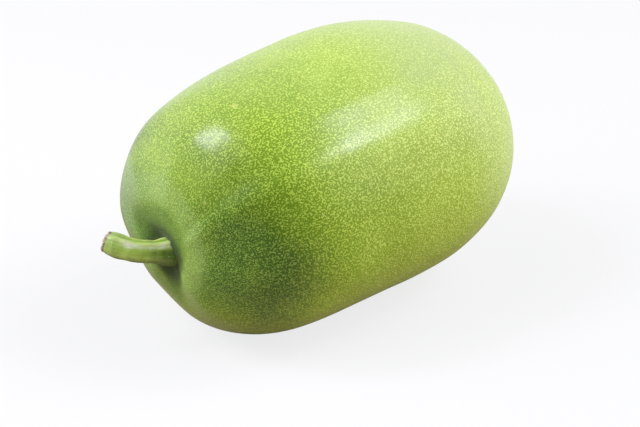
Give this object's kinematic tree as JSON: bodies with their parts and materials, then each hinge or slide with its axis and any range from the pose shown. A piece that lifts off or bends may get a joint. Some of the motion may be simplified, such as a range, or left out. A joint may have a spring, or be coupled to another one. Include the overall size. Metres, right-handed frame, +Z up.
{
  "type": "winter melon",
  "caption": "Whole winter melon as picked: a net-patterned green barrel-shaped fruit lying on its side, with the short bent length of its cut stalk.",
  "frame": {"origin": "middle of the whole object's footprint, on the plane that it rests on", "axes": "+Z up; X along the fruit's length, with the stalk end at -X and the blossom end at +X; the stalk bends towards +Y"},
  "size_m": [0.2542, 0.1634, 0.15],
  "materials": {
    "rind": "satin",
    "stalk_skin": "satin"
  },
  "bodies": {
    "root": {"fruit": "rind", "stalk": "stalk_skin"}
  },
  "joints": []
}
